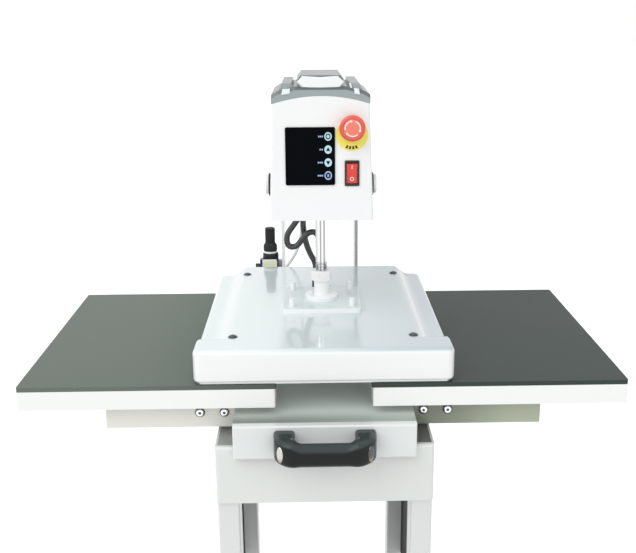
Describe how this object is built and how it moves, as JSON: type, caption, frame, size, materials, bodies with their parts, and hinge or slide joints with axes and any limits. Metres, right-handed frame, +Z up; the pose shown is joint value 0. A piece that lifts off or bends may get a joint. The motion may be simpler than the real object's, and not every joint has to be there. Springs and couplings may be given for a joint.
{
  "type": "pneumatic heat press",
  "caption": "Free-standing pneumatic heat press with sliding twin work tables, a rising heat platen under a fixed control head, and a tube-leg floor stand.",
  "frame": {"origin": "on the floor, midway between the front of the handle and the back of the head, under the press's centre line", "axes": "+X to the operator's right, the way the tables slide; +Y towards the back; +Z up"},
  "size_m": [0.955, 0.69, 1.34],
  "materials": {
    "white_paint": "satin",
    "grey_plate": "satin",
    "arm_paint": "satin",
    "deck_steel": "polished",
    "rail_steel": "ground",
    "bright_bolt": "polished",
    "dark_bolt": "satin",
    "silicone": "matt",
    "black_plastic": "gloss",
    "cover_paint": "high gloss",
    "cap_grey": "satin",
    "alu": "machined",
    "rod_chrome": "polished",
    "nut_zinc": "plated",
    "board_fibre": "matt",
    "element_steel": "matt",
    "rubber_black": "matt",
    "display_black": "high gloss",
    "circuit_green": "matt",
    "label_yellow": "gloss",
    "button_red": "gloss",
    "dark_plastic": "satin",
    "button_white": "gloss",
    "valve_plastic": "matt",
    "regulator_blue": "satin",
    "bowl_clear": "clear",
    "dial_pale": "gloss",
    "brass": "machined",
    "clear_tube": "clear"
  },
  "bodies": {
    "frame": {"base_shell": "white_paint", "base_top_plate": "grey_plate", "base_supports": "grey_plate", "side_screws": "dark_bolt", "stand_legs": "white_paint", "floor_frame": "white_paint", "tube_plugs": "rubber_black", "levelling_feet": "dark_plastic", "column_plates": "white_paint", "head_casing": "white_paint", "head_rear_cover": "white_paint", "head_cap": "cap_grey", "cylinder_base_block": "alu", "cylinder_barrel": "alu", "cylinder_top_block": "alu", "solenoid_valve": "valve_plastic", "control_board": "circuit_green", "display_panel": "display_black", "estop_label": "label_yellow", "estop_body": "dark_plastic", "rocker_housing": "black_plastic", "start_button_rings": "black_plastic", "regulator_body": "regulator_blue", "regulator_bowl": "bowl_clear", "pressure_gauge": "dial_pale", "regulator_bracket": "white_paint", "air_fittings": "black_plastic", "mains_inlet": "dark_plastic", "bearing_blocks": "rail_steel", "stop_buffers": "rubber_black", "heater_conduit": "rubber_black", "sensor_conduit": "rubber_black", "air_tube": "clear_tube"},
    "carriage": {"carriage_frame": "rail_steel", "carriage_deck": "deck_steel", "carriage_apron": "white_paint", "guide_rails": "rail_steel", "table_arms": "arm_paint", "arm_bolts": "bright_bolt", "handle": "black_plastic", "tray_left": "white_paint", "tray_right": "white_paint", "silicone_pads": "silicone"},
    "press": {"piston": "alu", "piston_rod": "rod_chrome", "lock_nut": "nut_zinc", "rod_coupling": "white_paint", "flange_plate": "white_paint", "flange_studs": "white_paint", "platen_cover": "cover_paint", "cover_screws": "dark_bolt", "insulation_board": "board_fibre", "heating_plate": "alu", "heating_element": "element_steel", "cover_glands": "black_plastic"},
    "estop": {"estop_button": "button_red"},
    "rocker": {"power_rocker": "button_red"},
    "start_left": {"start_button_left": "button_white"},
    "start_right": {"start_button_right": "button_white"},
    "knob": {"regulator_knob": "black_plastic"}
  },
  "joints": [
    {"name": "carriage_slide", "type": "slide", "parent": "frame", "child": "carriage", "axis": [1, 0, 0], "range_m": [-0.277, 0.277]},
    {"name": "press_slide", "type": "slide", "parent": "frame", "child": "press", "axis": [0, 0, 1], "range_m": [0, 0.045], "deforming": ["heater_conduit", "sensor_conduit"]},
    {"name": "estop_push", "type": "slide", "parent": "frame", "child": "estop", "axis": [0, 1, 0], "range_m": [0, 0.005]},
    {"name": "power_rocker_tilt", "type": "hinge", "parent": "frame", "child": "rocker", "pos_m": [0.05, -0.092, 1.1845], "axis": [-1, 0, 0], "range_deg": [0, 18]},
    {"name": "start_left_push", "type": "slide", "parent": "frame", "child": "start_left", "axis": [1, 0, 0], "range_m": [0, 0.003], "stiffness_N_per_m": 600},
    {"name": "start_right_push", "type": "slide", "parent": "frame", "child": "start_right", "axis": [-1, 0, 0], "range_m": [0, 0.003], "stiffness_N_per_m": 600},
    {"name": "regulator_knob_turn", "type": "hinge", "parent": "frame", "child": "knob", "pos_m": [-0.1035, 0.3, 0.97], "axis": [0, 0, 1], "range_deg": [-170, 170]}
  ]
}
